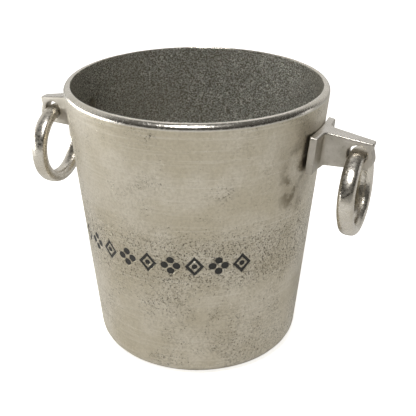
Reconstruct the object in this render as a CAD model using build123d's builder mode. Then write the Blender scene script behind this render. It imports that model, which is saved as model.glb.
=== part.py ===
from build123d import *
import math
import os

# A cast champagne bucket with two ring handles, in millimetres.
# The origin is the centre of the base at the level of the table, +Z points up, and the two
# handles stand on the X axis, the right one at +X. The engraved band faces -Y.

# Bucket casting
bucket_height = 226.5
rim_diameter = 213.1          # outside of the wall, carried up to the rim
base_diameter = 168.6         # outside of the wall, carried down to the table
wall_thickness = 5.9
base_thickness = 6.0
base_corner_radius = 15.5
inside_corner_radius = 11.0
foot_recess_diameter = 116.0  # the underside is hollow within the foot ring
foot_recess_depth = 1.5
rim_outer_edge_radius = 4.5
rim_inner_edge_radius = 0.8
rim_flat_width = 0.2          # least flat left between the rim's two roundings

# Engraved band: recessed ornaments filled with dark enamel
ornament_count = 9
ornament_pitch = 11.2         # degrees round the bucket
ornament_direction = -90.0    # degrees from +X to the middle of the band
ornament_level = 109.0        # height of the ornaments' centres
ornament_width = 14.8
ornament_height = 17.6
ornament_line = 2.3           # width of the lozenge's outline
lozenge_dot_diameter = 4.4
petal_diameter = 6.0
petal_offset = 4.8
recess_depth = 0.9
enamel_thickness = 0.5

# Handle bracket: a T-shaped casting, flange against the wall and web standing out
bracket_drop = 24.5           # rim to the bracket's top edge, at the wall
bracket_height = 30.6         # at the wall
bracket_droop = 8.8           # degrees that the top edge falls on its way out
bracket_reach = 43.2          # wall to the outer end
web_rise = 2.3                # the flange's lower edge to the web's
web_root_thickness = 17.2     # the web thins evenly from the wall to its outer end
web_end_thickness = 9.4
web_end_waist = 1.6           # hollow of the outer end between its lip and its eye
web_end_lip = 6.0             # depth of the lip below the top edge
web_end_radius = 7.0
flange_width = 51.0
flange_thickness = 5.8
flange_corner_radius = 4.5    # between flange and web
flange_seat_width = 16.0      # middle of the flange, which touches the wall
flange_back_radius = 320.0    # flatter than the wall, so the flange's ends stand off it
bracket_edge_chamfer = 0.8

# Ring handle: oval section, wider along the ring's axis than it is thick
ring_diameter = 71.2
ring_thickness = 10.4
ring_width = 13.2
ring_hole_play = 1.8          # hole diameter over the ring's width
ring_seat_gap = 0.62          # ring to the hole where they come nearest, at mid-web
ring_hole_edge = 0.8
ring_hole_inset = 12.6        # outer end of the web to the hole's centre
ring_hole_rise = 11.5         # web's underside to the hole's centre

# Fasteners: two countersunk screws a side, put in from inside the bucket
screw_diameter = 5.0
screw_length = 16.0           # head and shank
screw_head_diameter = 9.6
screw_head_sink = 0.15        # head below the inside of the wall
screw_socket_width = 3.0
screw_socket_depth = 1.8
screw_spacing = 15.0
wall_hole_clearance = 0.25    # radial
thread_clearance = 0.03       # radial
tapped_hole_runout = 1.0

handles = (("right", 0.0), ("left", 180.0))

# The wall is a cone. Everything that meets it takes its place from these.
wall_top_radius = rim_diameter / 2
wall_base_radius = base_diameter / 2
wall_slope = (wall_top_radius - wall_base_radius) / bucket_height
wall_lean = math.degrees(math.atan(wall_slope))
floor_level = foot_recess_depth + base_thickness

# The rim's outer rounding takes no more than its wall leaves beside the inner one
rim_land = wall_thickness / math.cos(math.radians(wall_lean))
rim_corner = math.tan(math.radians((90 - wall_lean) / 2))
rim_rounding_room = (rim_land - rim_flat_width - rim_inner_edge_radius * rim_corner) * rim_corner
rim_rounding = min(rim_outer_edge_radius, rim_rounding_room)

bracket_top = bucket_height - bracket_drop
bracket_underside = bracket_top - bracket_height
web_underside = bracket_underside + web_rise
bracket_middle = (bracket_top + bracket_underside) / 2
screw_levels = (bracket_middle - screw_spacing / 2, bracket_middle + screw_spacing / 2)
screw_head_inset = wall_thickness - screw_head_sink
screw_head_height = (screw_head_diameter - screw_diameter) / 2


def wall_radius(height):
    """Outside of the wall at a height."""
    return wall_base_radius + wall_slope * height


def inside_radius(height):
    """Inside of the wall at a height. The wall's thickness is square to its surface."""
    return wall_radius(height) - wall_thickness / math.cos(math.radians(wall_lean))


def radius_of(point):
    """How far a point stands from the bucket's axis."""
    return math.hypot(point.X, point.Y)


def wall_plane(azimuth, height, inset=0.0):
    """A plane tangent to the wall, facing outwards, sunk by inset. Its y runs up the wall."""
    turn, lean = math.radians(azimuth), math.radians(wall_lean)
    outward = Vector(
        math.cos(turn) * math.cos(lean), math.sin(turn) * math.cos(lean), -math.sin(lean)
    )
    radius = wall_radius(height)
    surface = Vector(radius * math.cos(turn), radius * math.sin(turn), height)
    return Plane(
        origin=surface - outward * inset,
        x_dir=(-math.sin(turn), math.cos(turn), 0),
        z_dir=outward,
    )


def radial_plane(azimuth):
    """The upright plane through the bucket's axis: x is the radius, y the height."""
    turn = math.radians(azimuth)
    return Plane(
        origin=(0, 0, 0),
        x_dir=(math.cos(turn), math.sin(turn), 0),
        z_dir=(math.sin(turn), -math.cos(turn), 0),
    )


def ring_sag():
    """How far the ring's oval section hangs below the centre of its round hole."""
    half_width, half_thickness = ring_width / 2, ring_thickness / 2
    limit = ring_hole_radius - ring_seat_gap
    ovalness = half_width**2 - half_thickness**2
    on_flanks = math.sqrt((limit**2 - half_width**2) * max(ovalness, 0)) / half_width
    if half_thickness * on_flanks < ovalness:
        return on_flanks
    return limit - half_thickness


# The ring's hole in the web, and the ring hanging in it
bracket_end = wall_radius(bracket_top) + bracket_reach
pivot_radius = bracket_end - ring_hole_inset
pivot_height = web_underside + ring_hole_rise
ring_hole_radius = (ring_width + ring_hole_play) / 2
ring_line_radius = (ring_diameter - ring_thickness) / 2
ring_centre_height = pivot_height - ring_sag() - ring_line_radius


def draw_ornament(index):
    """One ornament, added to the sketch in hand: lozenges and four-petal flowers in turn."""
    if index % 2 == 0:
        half_width, half_height = ornament_width / 2, ornament_height / 2
        tips = ((half_width, 0), (0, half_height), (-half_width, 0), (0, -half_height))
        slant = math.hypot(half_width, half_height)
        shrink = 1 - ornament_line * slant / (half_width * half_height)
        Polygon(*tips)
        Polygon(*((x * shrink, y * shrink) for x, y in tips), mode=Mode.SUBTRACT)
        Circle(lozenge_dot_diameter / 2)
    else:
        with PolarLocations(petal_offset, 4):
            Circle(petal_diameter / 2)


def ornament_azimuth(index):
    """Where an ornament stands round the bucket."""
    return ornament_direction + (index - (ornament_count - 1) / 2) * ornament_pitch


os.makedirs("parts", exist_ok=True)

# Bucket body: one casting, turned from its section, then engraved and drilled
with BuildPart() as bucket_body:
    with BuildSketch(Plane.XZ) as wall_section:
        foot_edge = (wall_base_radius, 0)
        inside_corner = (inside_radius(floor_level), floor_level)
        rim_outer = (wall_top_radius, bucket_height)
        rim_inner = (inside_radius(bucket_height), bucket_height)
        with BuildLine():
            Polyline(
                (0, foot_recess_depth),
                (foot_recess_diameter / 2, foot_recess_depth),
                (foot_recess_diameter / 2 + foot_recess_depth, 0),
                foot_edge,
                rim_outer,
                rim_inner,
                inside_corner,
                (0, floor_level),
                close=True,
            )
        make_face()
        for corner, radius in (
            (foot_edge, base_corner_radius),
            (inside_corner, inside_corner_radius),
            (rim_outer, rim_rounding),
            (rim_inner, rim_inner_edge_radius),
        ):
            fillet(wall_section.vertices().sort_by_distance((*corner, 0))[0], radius)
    revolve(axis=Axis.Z)

    for index in range(ornament_count):
        with BuildSketch(wall_plane(ornament_azimuth(index), ornament_level, recess_depth)):
            draw_ornament(index)
        extrude(amount=2 * recess_depth, mode=Mode.SUBTRACT)

    for _, azimuth in handles:
        for level in screw_levels:
            with BuildSketch(wall_plane(azimuth, level)):
                Circle(screw_diameter / 2 + wall_hole_clearance)
            extrude(amount=2 * wall_thickness, both=True, mode=Mode.SUBTRACT)
            with BuildSketch(wall_plane(azimuth, level, screw_head_inset)):
                Circle(screw_head_diameter / 2)
            extrude(amount=screw_head_height, taper=45, mode=Mode.SUBTRACT)
            with BuildSketch(wall_plane(azimuth, level, screw_head_inset)):
                Circle(screw_head_diameter / 2)
            extrude(amount=-wall_thickness, mode=Mode.SUBTRACT)

bucket_body.part.label = "bucket_body"
export_step(bucket_body.part, "parts/bucket_body.step")

# Enamel: one small solid in the bottom of each recess
with BuildPart() as enamel_infill:
    for index in range(ornament_count):
        with BuildSketch(wall_plane(ornament_azimuth(index), ornament_level, recess_depth)):
            draw_ornament(index)
        extrude(amount=enamel_thickness)

enamel_infill.part.label = "enamel_infill"
export_step(enamel_infill.part, "parts/enamel_infill.step")

for side, azimuth in handles:
    direction = Vector(1, 0, 0).rotate(Axis.Z, azimuth)

    # Bracket: the T in plan, run along the wall's slope, cut to the side outline and then
    # to the wall. Its hole is on the tangential line that the ring turns about.
    with BuildPart() as bracket:
        seat = wall_plane(azimuth, bracket_middle)
        plan_plane = Plane(origin=seat.origin, x_dir=seat.z_dir, z_dir=seat.y_dir)
        seat_radius = wall_radius(bracket_middle) / math.cos(math.radians(wall_lean))
        thinning = (web_root_thickness - web_end_thickness) / 2 / bracket_reach
        past_end = 1.2 * bracket_reach
        past_end_half = web_root_thickness / 2 - thinning * past_end
        with BuildSketch(plan_plane) as plan:
            with Locations((-flange_back_radius, 0)):
                Circle(flange_back_radius + flange_thickness)
            Rectangle(2 * bracket_reach, flange_width, mode=Mode.INTERSECT)
            with BuildLine():
                Polyline(
                    (0, web_root_thickness / 2),
                    (past_end, past_end_half),
                    (past_end, -past_end_half),
                    (0, -web_root_thickness / 2),
                    close=True,
                )
            make_face()
            web_roots = plan.vertices().sort_by_distance((flange_thickness, 0))[:2]
            fillet(web_roots, flange_corner_radius)
        extrude(amount=bracket_height, both=True)

        with BuildSketch(radial_plane(azimuth)) as side_outline:
            fall = math.tan(math.radians(bracket_droop))
            inside = 2 * flange_width / 3
            root = wall_radius(bracket_top) - inside
            lip = (bracket_end, bracket_top - bracket_reach * fall)
            waist = (bracket_end - web_end_waist, lip[1] - web_end_lip)
            toe = (bracket_end - web_end_waist / 2, web_underside)
            skirt = (wall_radius(bracket_underside) + flange_thickness, bracket_underside)
            eye = (bracket_end, (waist[1] + toe[1]) / 2)
            with BuildLine():
                Polyline(toe, (skirt[0] + web_rise, web_underside), skirt)
                Polyline(skirt, (root, bracket_underside), (root, bracket_top + inside * fall))
                Polyline((root, bracket_top + inside * fall), lip, waist)
                ThreePointArc(waist, eye, toe)
            make_face()
            fillet(side_outline.vertices().sort_by_distance((*toe, 0))[0], web_end_radius)
        extrude(amount=flange_width, both=True, mode=Mode.INTERSECT)

        # The wall, and behind the flange's ends a flatter cone that stands off from it
        Cone(
            wall_base_radius,
            wall_top_radius,
            bucket_height,
            align=(Align.CENTER, Align.CENTER, Align.MIN),
            mode=Mode.SUBTRACT,
        )
        flattening = flange_back_radius - seat_radius
        seat_bite = (flange_seat_width / 2) ** 2 * (1 / seat_radius - 1 / flange_back_radius) / 2
        with Locations(direction * -(flattening + seat_bite)):
            Cone(
                wall_base_radius + flattening,
                wall_top_radius + flattening,
                bucket_height,
                align=(Align.CENTER, Align.CENTER, Align.MIN),
                mode=Mode.SUBTRACT,
            )

        touches_wall = wall_radius(bracket_top) + flange_thickness / 2
        top_edges = bracket.faces().sort_by(Axis.Z)[-1].edges()
        chamfer(
            top_edges.filter_by(lambda edge: radius_of(edge.center()) > touches_wall),
            bracket_edge_chamfer,
        )

        with BuildSketch(radial_plane(azimuth)):
            with Locations((pivot_radius, pivot_height)):
                Circle(ring_hole_radius)
        extrude(amount=web_root_thickness, both=True, mode=Mode.SUBTRACT)
        hole_centre = direction * pivot_radius + Vector(0, 0, pivot_height)
        hole_wall = bracket.faces().filter_by(GeomType.CYLINDER).sort_by_distance(hole_centre)[0]
        fillet(hole_wall.edges().filter_by(GeomType.LINE, reverse=True), ring_hole_edge)

        tapped_depth = screw_length + tapped_hole_runout - screw_head_inset
        for level in screw_levels:
            with BuildSketch(wall_plane(azimuth, level, wall_thickness)):
                Circle(screw_diameter / 2 + thread_clearance)
            extrude(amount=wall_thickness + tapped_depth, mode=Mode.SUBTRACT)

    bracket.part.label = f"{side}_bracket"
    export_step(bracket.part, f"parts/{side}_bracket.step")

    # Ring: its section turned about the ring's own axis, which points straight out
    with BuildPart() as ring:
        with BuildSketch(radial_plane(azimuth)):
            with Locations((pivot_radius, ring_centre_height + ring_line_radius)):
                Ellipse(ring_width / 2, ring_thickness / 2)
        ring_centre = direction * pivot_radius + Vector(0, 0, ring_centre_height)
        revolve(axis=Axis(ring_centre, direction))

    ring.part.label = f"{side}_ring"
    export_step(ring.part, f"parts/{side}_ring.step")

    # Countersunk socket screws, heads in the wall, points in the bracket's tapped holes
    with BuildPart() as bracket_screws:
        for level in screw_levels:
            with BuildSketch(wall_plane(azimuth, level, screw_head_inset)):
                Circle(screw_head_diameter / 2)
            extrude(amount=screw_head_height, taper=45)
            with BuildSketch(wall_plane(azimuth, level, screw_head_inset)):
                Circle(screw_diameter / 2)
            extrude(amount=screw_length)
            with BuildSketch(wall_plane(azimuth, level, screw_head_inset)):
                RegularPolygon(screw_socket_width / 2, 6, major_radius=False)
            extrude(amount=screw_socket_depth, mode=Mode.SUBTRACT)

    bracket_screws.part.label = f"{side}_bracket_screws"
    export_step(bracket_screws.part, f"parts/{side}_bracket_screws.step")

print("pivot radius", round(pivot_radius, 3), "height", round(pivot_height, 3))
print("ring centre height", round(ring_centre_height, 3), "floor level", floor_level)
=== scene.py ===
import math

import bpy
import bmesh
from mathutils import Matrix, Vector, noise


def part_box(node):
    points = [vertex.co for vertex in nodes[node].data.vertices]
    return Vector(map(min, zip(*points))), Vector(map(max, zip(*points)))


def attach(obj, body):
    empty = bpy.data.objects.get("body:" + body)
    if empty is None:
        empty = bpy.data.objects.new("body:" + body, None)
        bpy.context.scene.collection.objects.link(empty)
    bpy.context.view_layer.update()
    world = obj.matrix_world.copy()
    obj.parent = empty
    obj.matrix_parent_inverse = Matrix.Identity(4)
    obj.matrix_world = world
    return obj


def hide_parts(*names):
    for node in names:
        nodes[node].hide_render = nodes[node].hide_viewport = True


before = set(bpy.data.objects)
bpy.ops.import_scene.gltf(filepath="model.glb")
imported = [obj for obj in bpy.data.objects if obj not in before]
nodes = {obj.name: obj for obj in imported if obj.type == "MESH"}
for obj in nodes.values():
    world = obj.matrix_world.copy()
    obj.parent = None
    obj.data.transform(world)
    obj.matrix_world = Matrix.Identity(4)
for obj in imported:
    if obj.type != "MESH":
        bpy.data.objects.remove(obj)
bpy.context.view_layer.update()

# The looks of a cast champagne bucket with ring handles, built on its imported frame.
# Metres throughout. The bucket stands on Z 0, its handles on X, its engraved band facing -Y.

MM = 0.001

# Sizes read from the frame
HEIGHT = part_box("bucket_body")[1].z
enamel_low, enamel_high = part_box("enamel_infill")
BAND_LEVEL = (enamel_low.z + enamel_high.z) / 2

# The casting's section and the screw heads in its wall, as in the CAD model
BASE_RADIUS = 84.3 * MM
WALL_TOP_RADIUS = 106.55 * MM
WALL_THICKNESS = 5.9 * MM
FLOOR_LEVEL = 7.5 * MM
BASE_CORNER = 15.5 * MM
INSIDE_CORNER = 11.0 * MM
FOOT_RECESS_RADIUS = 58.0 * MM
FOOT_RECESS_DEPTH = 1.5 * MM
RIM_OUTER_EDGE = 4.5 * MM
RIM_INNER_EDGE = 0.8 * MM
FOOT_SOFTNESS = 0.5 * MM
SCREW_HEAD = 9.6 * MM
SCREW_SINK = 0.15 * MM
SCREW_LEVELS = (179.2 * MM, 194.2 * MM)
WALL_SLOPE = (WALL_TOP_RADIUS - BASE_RADIUS) / HEIGHT
LEAN = math.atan(WALL_SLOPE)

# How far the pits reach below and above the band: where they fade out, and where they are thickest
PITS_BELOW = (0.036, 0.012)
PITS_ABOVE = (0.044, 0.014)

# Painted shade: dull brown darkening painted on the wall beside each bracket: middle and half-spread, in
# the first quarter
PAINTED_SHADE_PLACE = (0.0945, 0.035, 0.168)
PAINTED_SHADE_SPREAD = (0.030, 0.020, 0.048)

# Fineness of the turned mesh: faces round it, and height of a row
SEGMENTS = 360
ROW = 2.2 * MM


def wall_radius(z):
    """Outside of the wall at a height."""
    return BASE_RADIUS + WALL_SLOPE * z


def inside_radius(z):
    """Inside of the wall at a height."""
    return wall_radius(z) - WALL_THICKNESS / math.cos(LEAN)


# ---------------------------------------------------------------- geometry helpers


def line(a, b, step=ROW):
    """Points from a to b, b left out, about a step apart."""
    count = max(1, round(math.dist(a, b) / step))
    return [(a[0] + (b[0] - a[0]) * i / count, a[1] + (b[1] - a[1]) * i / count) for i in range(count)]


def rounded(path, radii, count=6):
    """A polyline of (radius, height) points with its corners rounded: radii maps a corner to its radius."""
    out = []
    for i, p in enumerate(path):
        radius = radii.get(i)
        if not radius:
            out.append((p, False))
            continue
        p0, p1, p2 = (Vector(path[i - 1]), Vector(p), Vector(path[i + 1]))
        u, v = (p0 - p1).normalized(), (p2 - p1).normalized()
        half = u.angle(v) / 2
        reach = radius / math.tan(half)
        centre = p1 + (u + v).normalized() * (radius / math.sin(half))
        start, end = p1 + u * reach - centre, p1 + v * reach - centre
        turn = start.angle_signed(end)
        for k in range(count + 1):
            a = -turn * k / count
            spot = Vector((
                start.x * math.cos(a) - start.y * math.sin(a),
                start.x * math.sin(a) + start.y * math.cos(a),
            ))
            out.append((tuple(centre + spot), k < count))
    points = []
    for (a, fine), (b, _) in zip(out, out[1:]):
        points += [a] if fine else line(a, b)
    return points + [out[-1][0]]


def lathe(name, points, segments):
    """A closed solid turned about Z from (radius, height) points that start and end on the axis."""
    verts, faces = [(0, 0, points[0][1])], []
    for r, z in points[1:-1]:
        for k in range(segments):
            a = math.tau * k / segments
            verts.append((r * math.cos(a), r * math.sin(a), z))
    verts.append((0, 0, points[-1][1]))
    rows, last = len(points) - 2, len(verts) - 1
    for k in range(segments):
        n = (k + 1) % segments
        faces.append((0, 1 + n, 1 + k))
        for r in range(rows - 1):
            low, high = 1 + r * segments, 1 + (r + 1) * segments
            faces.append((low + k, low + n, high + n, high + k))
        top = 1 + (rows - 1) * segments
        faces.append((last, top + k, top + n))
    mesh = bpy.data.meshes.new(name)
    mesh.from_pydata(verts, [], faces)
    mesh.validate()
    return add_object(name, mesh)


def add_object(name, mesh):
    """Links a mesh to the scene as an object."""
    obj = bpy.data.objects.new(name, mesh)
    bpy.context.scene.collection.objects.link(obj)
    return obj


def apply_modifiers(obj):
    """Bakes an object's modifiers into its mesh."""
    graph = bpy.context.evaluated_depsgraph_get()
    mesh = bpy.data.meshes.new_from_object(obj.evaluated_get(graph))
    obj.modifiers.clear()
    obj.data = mesh


def smooth(obj, angle=35):
    """Smooth shading, with creases where faces meet at more than an angle."""
    obj.data.shade_smooth()
    obj.data.set_sharp_from_angle(angle=math.radians(angle))


def copy_of_node(node, name):
    """A new object with a copy of a CAD node's mesh."""
    mesh = nodes[node].data.copy()
    mesh.name = name
    return add_object(name, mesh)


def ripple(point, scale, seed):
    """Smooth noise between about -1 and 1 at a point, in features of 1 / scale metres."""
    return noise.noise(point * scale + Vector((seed * 7.3, seed * 3.1, seed * 5.7)))


# ---------------------------------------------------------------- materials


class Shader:
    """A node material built call by call."""

    def __init__(self, name):
        self.material = bpy.data.materials.new(name)
        self.material.use_nodes = True
        self.tree = self.material.node_tree
        self.bsdf = self.tree.nodes["Principled BSDF"]
        self.place = self.tree.nodes.new("ShaderNodeTexCoord").outputs["Object"]

    def node(self, kind, inputs=None, **settings):
        """Adds a node. Inputs are links from other nodes' sockets, or plain values."""
        made = self.tree.nodes.new("ShaderNode" + kind)
        for key, value in settings.items():
            setattr(made, key, value)
        for key, value in (inputs or {}).items():
            if isinstance(value, bpy.types.NodeSocket):
                self.tree.links.new(value, made.inputs[key])
            else:
                made.inputs[key].default_value = value
        return made

    def stretched(self, x, y, z):
        """The object's own coordinates, scaled along each axis."""
        return self.node("Mapping", {"Vector": self.place, "Scale": (x, y, z)}).outputs[0]

    def noise(self, scale, detail=2.0, rough=0.5, vector=None):
        """A noise texture's value, in features of about 1 / scale metres."""
        made = self.node(
            "TexNoise",
            {"Vector": vector or self.place, "Scale": scale, "Detail": detail, "Roughness": rough},
        )
        return made.outputs["Fac"]

    def between(self, value, low, high, to_low=0.0, to_high=1.0):
        """Maps a value from low..high to to_low..to_high, smoothly, and clamps it."""
        made = self.node(
            "MapRange",
            {"Value": value, "From Min": low, "From Max": high, "To Min": to_low, "To Max": to_high},
            interpolation_type="SMOOTHSTEP",
        )
        return made.outputs["Result"]

    def math(self, operation, a, b):
        """Two numbers combined."""
        return self.node("Math", {0: a, 1: b}, operation=operation).outputs[0]

    def mix(self, factor, a, b):
        """Two colours mixed by a factor."""
        made = self.node("Mix", {0: factor, 6: a, 7: b}, data_type="RGBA")
        return made.outputs[2]

    def bump(self, height, strength, distance, under=None):
        """Bump from a height, over another bump if one is given."""
        inputs = {"Height": height, "Strength": strength, "Distance": distance}
        if under:
            inputs["Normal"] = under
        return self.node("Bump", inputs).outputs[0]

    def set(self, **inputs):
        """Sets or links the shader's own inputs. An underscore in a name stands for a space."""
        for key, value in inputs.items():
            socket = self.bsdf.inputs[key.replace("_", " ")]
            if isinstance(value, bpy.types.NodeSocket):
                self.tree.links.new(value, socket)
            else:
                socket.default_value = value
        return self.material


def rgb(red, green, blue):
    """A colour with full alpha."""
    return (red, green, blue, 1.0)


def satin_casting():
    """The outside: a sand casting, linished and nickel plated, with pits round the band."""
    s = Shader("satin_casting")
    grain = s.noise(1500, 3, 0.6)
    mottle = s.noise(480, 4, 0.62)
    cloud = s.noise(24, 3, 0.55)
    strokes = s.noise(1, 4, 0.6, s.stretched(18, 18, 700))
    height = s.node("SeparateXYZ", {0: s.place}).outputs["Z"]
    near_band = s.math(
        "MULTIPLY",
        s.between(height, BAND_LEVEL - PITS_BELOW[0], BAND_LEVEL - PITS_BELOW[1]),
        s.between(height, BAND_LEVEL + PITS_ABOVE[0], BAND_LEVEL + PITS_ABOVE[1]),
    )
    patch = s.between(s.noise(19, 4, 0.62), 0.45, 0.60)
    spread = s.math("MAXIMUM", s.math("MULTIPLY", near_band, 0.95), s.math("MULTIPLY", patch, 0.78))
    threshold = s.math("SUBTRACT", 0.665, s.math("MULTIPLY", spread, 0.122))
    pits = s.between(s.math("SUBTRACT", s.noise(720, 3, 0.74), threshold), 0.0, 0.05)
    # Painted shade: a patchy dull brown darkening beside each bracket, mirrored into every quarter
    quarter = s.node("VectorMath", {0: s.place}, operation="ABSOLUTE").outputs[0]
    from_painted_shade = s.node("VectorMath", {0: quarter, 1: PAINTED_SHADE_PLACE}, operation="SUBTRACT").outputs[0]
    reach = s.node("VectorMath", {0: from_painted_shade, 1: PAINTED_SHADE_SPREAD}, operation="DIVIDE").outputs[0]
    reach = s.node("VectorMath", {0: reach}, operation="LENGTH").outputs["Value"]
    painted_shade = s.math("MULTIPLY", s.between(reach, 1.0, 0.2), s.between(s.noise(75, 4, 0.6), 0.47, 0.60))
    tone = s.mix(s.between(cloud, 0.35, 0.65), rgb(0.575, 0.52, 0.405), rgb(0.67, 0.62, 0.52))
    speckled = s.math("ADD", s.math("MULTIPLY", spread, 0.5), 0.35)
    grey = s.math("MULTIPLY", s.between(mottle, 0.38, 0.66), speckled)
    tone = s.mix(grey, tone, rgb(0.42, 0.375, 0.285))
    tone = s.mix(s.between(strokes, 0.5, 0.72, 0.0, 0.35), tone, rgb(0.78, 0.745, 0.67))
    # The painted shade beside the brackets darkens the tone to dull brown
    tone = s.mix(s.math("MULTIPLY", painted_shade, 0.75), tone, rgb(0.22, 0.185, 0.125))
    colour = s.mix(s.math("MULTIPLY", pits, 0.85), tone, rgb(0.12, 0.105, 0.08))
    rough = s.math(
        "ADD",
        s.between(mottle, 0.3, 0.7, 0.27, 0.38),
        s.math("MULTIPLY", pits, 0.3),
    )
    normal = s.bump(cloud, 0.5, 0.0020)
    normal = s.bump(mottle, 0.45, 0.0004, normal)
    normal = s.bump(strokes, 0.4, 0.0003, normal)
    normal = s.bump(grain, 0.35, 0.0002, normal)
    normal = s.bump(s.math("MULTIPLY", pits, -1.0), 0.7, 0.0006, normal)
    return s.set(Base_Color=colour, Metallic=1.0, Roughness=rough, Normal=normal)


def sand_casting():
    """The inside: left as it came from the sand, dark and gritty."""
    s = Shader("sand_casting")
    grit = s.noise(1, 5, 0.78, s.stretched(620, 620, 900))
    fine = s.noise(1700, 2, 0.6)
    cloud = s.noise(26, 3, 0.6)
    dark, light = rgb(0.17, 0.155, 0.12), rgb(0.88, 0.865, 0.78)
    colour = s.mix(s.between(grit, 0.42, 0.64), dark, light)
    colour = s.mix(s.between(cloud, 0.35, 0.7, 0.0, 0.35), colour, rgb(0.32, 0.29, 0.23))
    normal = s.bump(grit, 1.0, 0.0016)
    normal = s.bump(fine, 0.5, 0.0003, normal)
    return s.set(
        Base_Color=colour, Metallic=1.0, Roughness=s.between(fine, 0.3, 0.7, 0.32, 0.5), Normal=normal
    )


def polished(name, light, dark, low, high):
    """Hand-polished nickel plate: bright, with soft buffing marks and a few dull spots."""
    s = Shader(name)
    cloud = s.noise(60, 3, 0.6)
    buff = s.noise(420, 4, 0.65)
    spots = s.between(s.noise(900, 2, 0.6), 0.68, 0.76)
    colour = s.mix(s.between(cloud, 0.35, 0.7), light, dark)
    colour = s.mix(s.math("MULTIPLY", spots, 0.5), colour, rgb(0.30, 0.28, 0.24))
    rough = s.math("ADD", s.between(buff, 0.3, 0.75, low, high), s.math("MULTIPLY", spots, 0.15))
    normal = s.bump(cloud, 0.35, 0.0012)
    normal = s.bump(buff, 0.30, 0.0004, normal)
    return s.set(Base_Color=colour, Metallic=1.0, Roughness=rough, Normal=normal)


def bracket_casting():
    """The brackets' sides and ends: cast skin, plated and only lightly polished."""
    s = Shader("bracket_skin")
    grit = s.noise(700, 4, 0.65)
    cloud = s.noise(70, 3, 0.6)
    colour = s.mix(s.between(cloud, 0.3, 0.7), rgb(0.47, 0.44, 0.38), rgb(0.60, 0.565, 0.51))
    colour = s.mix(s.between(grit, 0.55, 0.75, 0.0, 0.5), colour, rgb(0.28, 0.25, 0.20))
    rough = s.between(grit, 0.3, 0.7, 0.30, 0.46)
    normal = s.bump(cloud, 0.4, 0.0012)
    normal = s.bump(grit, 0.55, 0.0005, normal)
    return s.set(Base_Color=colour, Metallic=1.0, Roughness=rough, Normal=normal)


def dark_enamel():
    """Matt black-brown enamel with rubbed specks of metal colour."""
    s = Shader("dark_enamel")
    specks = s.between(s.noise(1300, 3, 0.7), 0.62, 0.74)
    colour = s.mix(specks, rgb(0.022, 0.021, 0.018), rgb(0.16, 0.15, 0.13))
    rough = s.between(s.noise(800, 2, 0.5), 0.3, 0.7, 0.45, 0.7)
    return s.set(Base_Color=colour, Roughness=rough, Normal=s.bump(specks, 0.5, 0.0003))


def plated_screw():
    """Screw heads: plated over with the casting, so about as dark and as rough as its inside."""
    s = Shader("plated_screw")
    grit = s.noise(900, 3, 0.6)
    colour = s.mix(s.between(grit, 0.35, 0.7), rgb(0.36, 0.34, 0.28), rgb(0.60, 0.585, 0.52))
    rough = s.between(grit, 0.3, 0.7, 0.34, 0.5)
    return s.set(Base_Color=colour, Metallic=1.0, Roughness=rough, Normal=s.bump(grit, 0.5, 0.0003))


# ---------------------------------------------------------------- bucket


def bucket_profile():
    """The casting's section, from the middle of the underside round to the middle of the floor."""
    path = [
        (0, FOOT_RECESS_DEPTH),
        (FOOT_RECESS_RADIUS, FOOT_RECESS_DEPTH),
        (FOOT_RECESS_RADIUS + FOOT_RECESS_DEPTH, 0),
        (BASE_RADIUS, 0),
        (WALL_TOP_RADIUS, HEIGHT),
        (inside_radius(HEIGHT), HEIGHT),
        (inside_radius(FLOOR_LEVEL), FLOOR_LEVEL),
        (0, FLOOR_LEVEL),
    ]
    radii = {
        1: FOOT_SOFTNESS, 2: FOOT_SOFTNESS, 3: BASE_CORNER,
        4: RIM_OUTER_EDGE, 5: RIM_INNER_EDGE, 6: INSIDE_CORNER,
    }
    return rounded(path, radii)


ENAMEL_FACE = 0.55 * MM     # points of the enamel nearer the surface than this are its outer face
CUTTER_REACH_MM = 1.5       # how far that face is drawn out, to clear the surface


def ornament_cutter():
    """The enamel's solids, drawn out through the wall's surface."""
    cutter = copy_of_node("enamel_infill", "ornament_cutter")
    mesh = bmesh.new()
    mesh.from_mesh(cutter.data)
    bmesh.ops.remove_doubles(mesh, verts=mesh.verts, dist=1e-6)
    for v in mesh.verts:
        radius = math.hypot(v.co.x, v.co.y)
        depth = wall_radius(v.co.z) - radius
        if depth < ENAMEL_FACE:
            v.co += Vector((v.co.x / radius, v.co.y / radius, -WALL_SLOPE)) * CUTTER_REACH_MM * MM
    bmesh.ops.recalc_face_normals(mesh, faces=mesh.faces)
    mesh.to_mesh(cutter.data)
    mesh.free()
    return cutter


SCREW_TURNS = (0.0, math.pi)
RECESS_SIDES = 48
RECESS_REACH = 4.0 * MM


def screw_recesses():
    """Shallow round recesses that leave the four countersunk heads bare in the rough wall."""
    made = []
    for turn in SCREW_TURNS:
        outward_axis = Vector((math.cos(turn) * math.cos(LEAN), 0, -math.sin(LEAN)))
        upright = outward_axis.to_track_quat("Z", "Y").to_matrix().to_4x4()
        for level in SCREW_LEVELS:
            at = Vector((inside_radius(level) * math.cos(turn), 0, level))
            mesh = bpy.data.meshes.new("recess")
            shape = bmesh.new()
            bmesh.ops.create_cone(
                shape, cap_ends=True, segments=RECESS_SIDES, radius1=SCREW_HEAD / 2,
                radius2=SCREW_HEAD / 2, depth=RECESS_REACH,
            )
            shape.to_mesh(mesh)
            shape.free()
            place = Matrix.Translation(at + outward_axis * (SCREW_SINK - RECESS_REACH / 2))
            mesh.transform(place @ upright)
            made.append(add_object("recess", mesh))
    return made


def cut(obj, cutter):
    """Takes one solid out of another."""
    boolean = obj.modifiers.new("cut", "BOOLEAN")
    boolean.object, boolean.operation, boolean.solver = cutter, "DIFFERENCE", "EXACT"
    apply_modifiers(obj)
    bpy.data.objects.remove(cutter)


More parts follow.
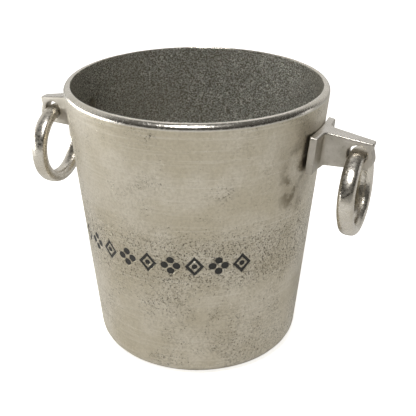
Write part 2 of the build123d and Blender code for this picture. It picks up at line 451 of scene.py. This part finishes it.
# How the casting's surface wanders: features per metre, and millimetres that they move it
INSIDE_WAVES, INSIDE_WAVE_MM = 45, 0.35
INSIDE_GRIT, INSIDE_GRIT_MM = 260, 0.22
OUTSIDE_WAVES, OUTSIDE_WAVE_MM = 28, 0.10
LINISHED_MM = 0.12          # what the linishing takes off the outside
TRUE_FOOT = 2 * MM          # below this the foot stays true
UNDERSIDE_MARGIN = 1.5 * MM


def roughen_bucket(obj):
    """Moves the casting's surface a little, as hand work and sand leave it."""
    for v in obj.data.vertices:
        p = v.co
        radius = math.hypot(p.x, p.y)
        if radius < 1e-6:
            continue
        out = Vector((p.x / radius, p.y / radius, 0))
        middle = wall_radius(p.z) - WALL_THICKNESS / 2
        if radius < middle - UNDERSIDE_MARGIN or (radius < middle and p.z > FLOOR_LEVEL):
            waves = ripple(p, INSIDE_WAVES, 1) * INSIDE_WAVE_MM
            grit = ripple(p, INSIDE_GRIT, 2) * INSIDE_GRIT_MM
            v.co = p + out * (waves + grit) * MM
        elif p.z > TRUE_FOOT:
            v.co = p - out * (LINISHED_MM + ripple(p, OUTSIDE_WAVES, 3) * OUTSIDE_WAVE_MM) * MM


# Which finish a face of the bucket gets, and where each begins
SATIN, POLISHED, SAND = 0, 1, 2
RIM_LOW = HEIGHT - 1.1 * RIM_OUTER_EDGE
INSIDE_LOW = FLOOR_LEVEL - 1 * MM
INNER_SHARE = 0.8           # of the wall's thickness, in from the outside
LAND_TILT = 0.35            # upward share of the normal, above which a face is the rim's top
BUCKET_CREASE = 40          # degrees


def make_bucket():
    """The bucket: turned, cut by the ornaments, and given three finishes."""
    bucket = lathe("bucket_shell", bucket_profile(), SEGMENTS)
    cut(bucket, ornament_cutter())
    satin = satin_casting()
    rim = polished("polished_rim", rgb(0.74, 0.705, 0.64), rgb(0.65, 0.615, 0.545), 0.17, 0.30)
    mesh = bucket.data
    mesh.materials.clear()
    for material in (satin, rim, sand_casting()):
        mesh.materials.append(material)
    for face in mesh.polygons:
        c = face.center
        inner = math.hypot(c.x, c.y) < wall_radius(c.z) - WALL_THICKNESS * INNER_SHARE
        if c.z > RIM_LOW and not (inner and face.normal.z < LAND_TILT):
            face.material_index = POLISHED
        elif inner and c.z > INSIDE_LOW:
            face.material_index = SAND
        else:
            face.material_index = SATIN
    roughen_bucket(bucket)
    for recess in screw_recesses():
        cut(bucket, recess)
    smooth(bucket, BUCKET_CREASE)
    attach(bucket, "bucket")
    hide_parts("bucket_body")
    return bucket


# ---------------------------------------------------------------- handles

RING_TURNS = 144
RING_SIDES = 32
RING_HALF_THICKNESS = 5.2 * MM
HOLE_STRETCH = math.radians(38)   # either side of the top, where the section stays oval
HOLE_STRETCH_BLEND = 0.12         # radians
OVAL_POWER, SQUARE_GAIN = 2.0, 0.75
WEAR_RADIUS = 0.03                # radius on which the wear's noise is read
WEAR_FEATURES = 70                # per metre
WEAR_DEPTH_MM = 0.30
HANDLE_CREASE = 60                # degrees


def make_ring(side, material, seed):
    """A hand-finished cast ring: oval where it runs in its hole, squarer elsewhere."""
    low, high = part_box(f"{side}_ring")
    centre = (low + high) / 2
    half_width = (high.x - low.x) / 2
    outer = (high.z - low.z) / 2
    line_radius = outer - RING_HALF_THICKNESS
    verts, faces = [], []
    for i in range(RING_TURNS):
        a = math.tau * i / RING_TURNS
        away = min(a, math.tau - a)
        square = 1 / (1 + math.exp((HOLE_STRETCH - away) / HOLE_STRETCH_BLEND))
        power = OVAL_POWER + SQUARE_GAIN * square
        for j in range(RING_SIDES):
            b = math.tau * j / RING_SIDES
            c, s = math.cos(b), math.sin(b)
            reach = (abs(c) ** power + abs(s) ** power) ** (-1 / power)
            width, thick = reach * c * half_width, reach * s * RING_HALF_THICKNESS
            spot = Vector((width, math.sin(a) * WEAR_RADIUS, math.cos(a) * WEAR_RADIUS))
            spot = spot + Vector((seed, 0, 0))
            wear = (0.5 + 0.5 * ripple(spot, WEAR_FEATURES, seed)) * WEAR_DEPTH_MM * MM * square
            width -= math.copysign(min(wear, abs(width)), width)
            radius = line_radius + thick - math.copysign(min(wear, abs(thick)), thick)
            verts.append((
                centre.x + width,
                centre.y + radius * math.sin(a),
                centre.z + radius * math.cos(a),
            ))
    for i in range(RING_TURNS):
        n = (i + 1) % RING_TURNS
        for j in range(RING_SIDES):
            m = (j + 1) % RING_SIDES
            faces.append((
                i * RING_SIDES + j, i * RING_SIDES + m, n * RING_SIDES + m, n * RING_SIDES + j,
            ))
    mesh = bpy.data.meshes.new(f"{side}_ring_cast")
    mesh.from_pydata(verts, [], faces)
    ring = add_object(f"{side}_ring_cast", mesh)
    outward(ring)
    smooth(ring, HANDLE_CREASE)
    mesh.materials.append(material)
    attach(ring, f"{side}_handle")
    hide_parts(f"{side}_ring")
    return ring


def outward(obj):
    """Turns an object's faces outwards."""
    mesh = bmesh.new()
    mesh.from_mesh(obj.data)
    bmesh.ops.recalc_face_normals(mesh, faces=mesh.faces)
    mesh.to_mesh(obj.data)
    mesh.free()


BRACKET_VOXEL = 0.34 * MM
BRACKET_WAVES = 110         # features per metre
BRACKET_WAVE_MM = 0.10
BRACKET_SHRINK_MM = 0.05
TOP_TILT = 0.75             # upward share of the normal, above which a face is polished


def make_bracket(side, skin, top):
    """The bracket with its cast edges softened and its skin uneven, polished on top."""
    node = f"{side}_bracket"
    bracket = copy_of_node(node, f"{side}_bracket_cast")
    remesh = bracket.modifiers.new("remesh", "REMESH")
    remesh.mode, remesh.voxel_size = "VOXEL", BRACKET_VOXEL
    soften = bracket.modifiers.new("soften", "CORRECTIVE_SMOOTH")
    soften.factor, soften.iterations, soften.use_only_smooth = 0.7, 12, True
    apply_modifiers(bracket)
    mesh = bracket.data
    normals = [v.normal.copy() for v in mesh.vertices]
    for v, normal in zip(mesh.vertices, normals):
        wave = ripple(v.co, BRACKET_WAVES, 5) * BRACKET_WAVE_MM
        v.co += normal * (wave - BRACKET_SHRINK_MM) * MM
    mesh.materials.clear()
    mesh.materials.append(skin)
    mesh.materials.append(top)
    for face in mesh.polygons:
        face.material_index = 1 if face.normal.z > TOP_TILT else 0
    smooth(bracket, HANDLE_CREASE)
    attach(bracket, "bucket")
    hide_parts(node)
    return bracket


def finish_node(node, material, bevel=0.0):
    """A CAD node that keeps its shape gets its material and softened edges."""
    obj = nodes[node]
    obj.data.materials.clear()
    obj.data.materials.append(material)
    if bevel:
        edge = obj.modifiers.new("edge", "BEVEL")
        edge.width, edge.segments, edge.limit_method = bevel, 2, "ANGLE"


# ---------------------------------------------------------------- the object

SCREW_EDGE = 0.2 * MM

make_bucket()
ring_metal = polished("polished_ring", rgb(0.76, 0.72, 0.65), rgb(0.62, 0.575, 0.49), 0.20, 0.42)
bracket_skin = bracket_casting()
bracket_top = polished("polished_bracket", rgb(0.72, 0.69, 0.65), rgb(0.64, 0.61, 0.565), 0.20, 0.34)
for seed, side in enumerate(("right", "left"), start=1):
    make_ring(side, ring_metal, seed)
    make_bracket(side, bracket_skin, bracket_top)
finish_node("enamel_infill", dark_enamel())
screw_metal = plated_screw()
for side in ("right", "left"):
    finish_node(f"{side}_bracket_screws", screw_metal, SCREW_EDGE)


# ---------------------------------------------------------------- stage, light and camera

VIEW_TURN = math.radians(24.0)       # camera's place round the bucket, from -Y towards +X
CAMERA_DISTANCE = 0.6762
CAMERA_HEIGHT = 0.4319
CAMERA_PITCH = math.radians(25.21)   # below the horizontal
CAMERA_HEADING = math.radians(-0.745)
CAMERA_LENS = 75.8

FLOOR_RADIUS = 6.0
FLOOR_SIDES = 64
FLOOR_GLOW = 0.66            # the floor's own light to the camera, over the next
FLOOR_REFLECTED_GLOW = 0.17  # and in the metal's reflections

BACKDROP = (0.70, 0.69, 0.665)
BACKDROP_TURN = -165         # degrees from the camera's side
BACKDROP_EDGE = (-0.05, 0.6)  # from dark room to backdrop, as the cosine from its middle
BACKDROP_TOP = (0.66, 0.92)  # from backdrop to room above it, as the sine of the height
ROOM_HORIZON = (0.025, 0.023, 0.02)
ROOM_CEILING = (0.14, 0.136, 0.128)


def round_bucket(turn, distance, height):
    """A point round the bucket: turn in degrees from the camera's side, positive to its right."""
    a = VIEW_TURN + math.radians(turn)
    return Vector((math.sin(a) * distance, -math.cos(a) * distance, height))


def make_camera():
    """The camera, a little above the rim and looking down into it."""
    data = bpy.data.cameras.new("camera")
    data.lens = CAMERA_LENS
    data.clip_start, data.clip_end = 0.01, 50.0
    camera = bpy.data.objects.new("camera", data)
    camera.location = round_bucket(0, CAMERA_DISTANCE, CAMERA_HEIGHT)
    camera.rotation_euler = (math.pi / 2 - CAMERA_PITCH, 0, VIEW_TURN + CAMERA_HEADING)
    bpy.context.scene.collection.objects.link(camera)
    bpy.context.scene.camera = camera


def softbox(name, turn, distance, height, width, tall, power, aim=0.12):
    """A rectangular soft light that faces the bucket."""
    data = bpy.data.lights.new(name, "AREA")
    data.shape, data.size, data.size_y, data.energy = "RECTANGLE", width, tall, power
    light = bpy.data.objects.new(name, data)
    light.location = round_bucket(turn, distance, height)
    light.rotation_euler = (Vector((0, 0, aim)) - light.location).to_track_quat("-Z", "Y").to_euler()
    bpy.context.scene.collection.objects.link(light)
    return light


def make_floor():
    """A plain pale floor: white to the camera, and a softer grey in the metal's reflections."""
    s = Shader("white_floor")
    seen = s.node("LightPath").outputs["Is Camera Ray"]
    grain = s.noise(3, 2)
    grey = s.mix(grain, rgb(0.60, 0.595, 0.58), rgb(0.62, 0.615, 0.60))
    white = s.mix(grain, rgb(0.84, 0.84, 0.84), rgb(0.86, 0.86, 0.86))
    s.set(Base_Color=s.mix(seen, grey, white), Roughness=0.9, Specular_IOR_Level=0.0)
    glow = s.math("ADD", s.math("MULTIPLY", seen, FLOOR_GLOW), FLOOR_REFLECTED_GLOW)
    s.set(Emission_Color=rgb(1.0, 0.99, 0.96), Emission_Strength=glow)
    mesh = bpy.data.meshes.new("floor")
    edge = []
    for k in range(FLOOR_SIDES):
        a = math.tau * k / FLOOR_SIDES
        edge.append((FLOOR_RADIUS * math.cos(a), FLOOR_RADIUS * math.sin(a), 0))
    mesh.from_pydata(edge, [], [tuple(range(FLOOR_SIDES))])
    floor = add_object("floor", mesh)
    mesh.materials.append(s.material)


def make_world():
    """White to the camera. To the metal, a studio with its pale backdrop behind and to the left."""
    world = bpy.data.worlds.new("studio")
    world.use_nodes = True
    tree = world.node_tree
    tree.nodes.clear()
    links = tree.links

    def node(kind, **inputs):
        made = tree.nodes.new("ShaderNode" + kind)
        for key, value in inputs.items():
            made.inputs[key].default_value = value
        return made

    def ease(value, low, high):
        made = node("MapRange")
        made.interpolation_type = "SMOOTHSTEP"
        made.inputs["From Min"].default_value = low
        made.inputs["From Max"].default_value = high
        links.new(value, made.inputs["Value"])
        return made.outputs["Result"]

    direction = node("TexCoord").outputs["Generated"]
    along = node("VectorMath")
    along.operation = "DOT_PRODUCT"
    along.inputs[1].default_value = round_bucket(BACKDROP_TURN, 1.0, 0.0)
    links.new(direction, along.inputs[0])
    split = node("SeparateXYZ")
    links.new(direction, split.inputs[0])
    facing = ease(along.outputs["Value"], *BACKDROP_EDGE)
    below_top = ease(split.outputs["Z"], BACKDROP_TOP[1], BACKDROP_TOP[0])
    shown = node("Math")
    shown.operation = "MULTIPLY"
    links.new(facing, shown.inputs[0])
    links.new(below_top, shown.inputs[1])
    ramp = node("ValToRGB")
    stops = ramp.color_ramp.elements
    stops[0].position, stops[0].color = 0.0, rgb(*ROOM_HORIZON)
    stops[1].position, stops[1].color = 1.0, rgb(*ROOM_CEILING)
    links.new(split.outputs["Z"], ramp.inputs[0])
    mixed = node("Mix")
    mixed.data_type = "RGBA"
    links.new(shown.outputs[0], mixed.inputs[0])
    links.new(ramp.outputs[0], mixed.inputs[6])
    mixed.inputs[7].default_value = rgb(*BACKDROP)
    room, seen = node("Background"), node("Background", Color=rgb(1.0, 1.0, 1.0))
    links.new(mixed.outputs[2], room.inputs["Color"])
    mix, path, output = node("MixShader"), node("LightPath"), node("OutputWorld")
    links.new(path.outputs["Is Camera Ray"], mix.inputs[0])
    links.new(room.outputs[0], mix.inputs[1])
    links.new(seen.outputs[0], mix.inputs[2])
    links.new(mix.outputs[0], output.inputs[0])
    bpy.context.scene.world = world


make_camera()
make_floor()
make_world()
# Softboxes: turn in degrees, distance, height, width, tallness, watts, height aimed at
softbox("left_window", -100, 1.2, 0.14, 1.3, 0.24, 7.5)
softbox("right_fill", 100, 1.5, 0.3, 0.35, 0.4, 0.5)
softbox("overhead", 180, 0.80, 1.5, 1.2, 0.9, 1.5, 0.2)
softbox("front_high", -12, 0.9, 1.6, 0.42, 0.42, 20, 0.15)
bpy.context.scene.view_settings.view_transform = "Standard"
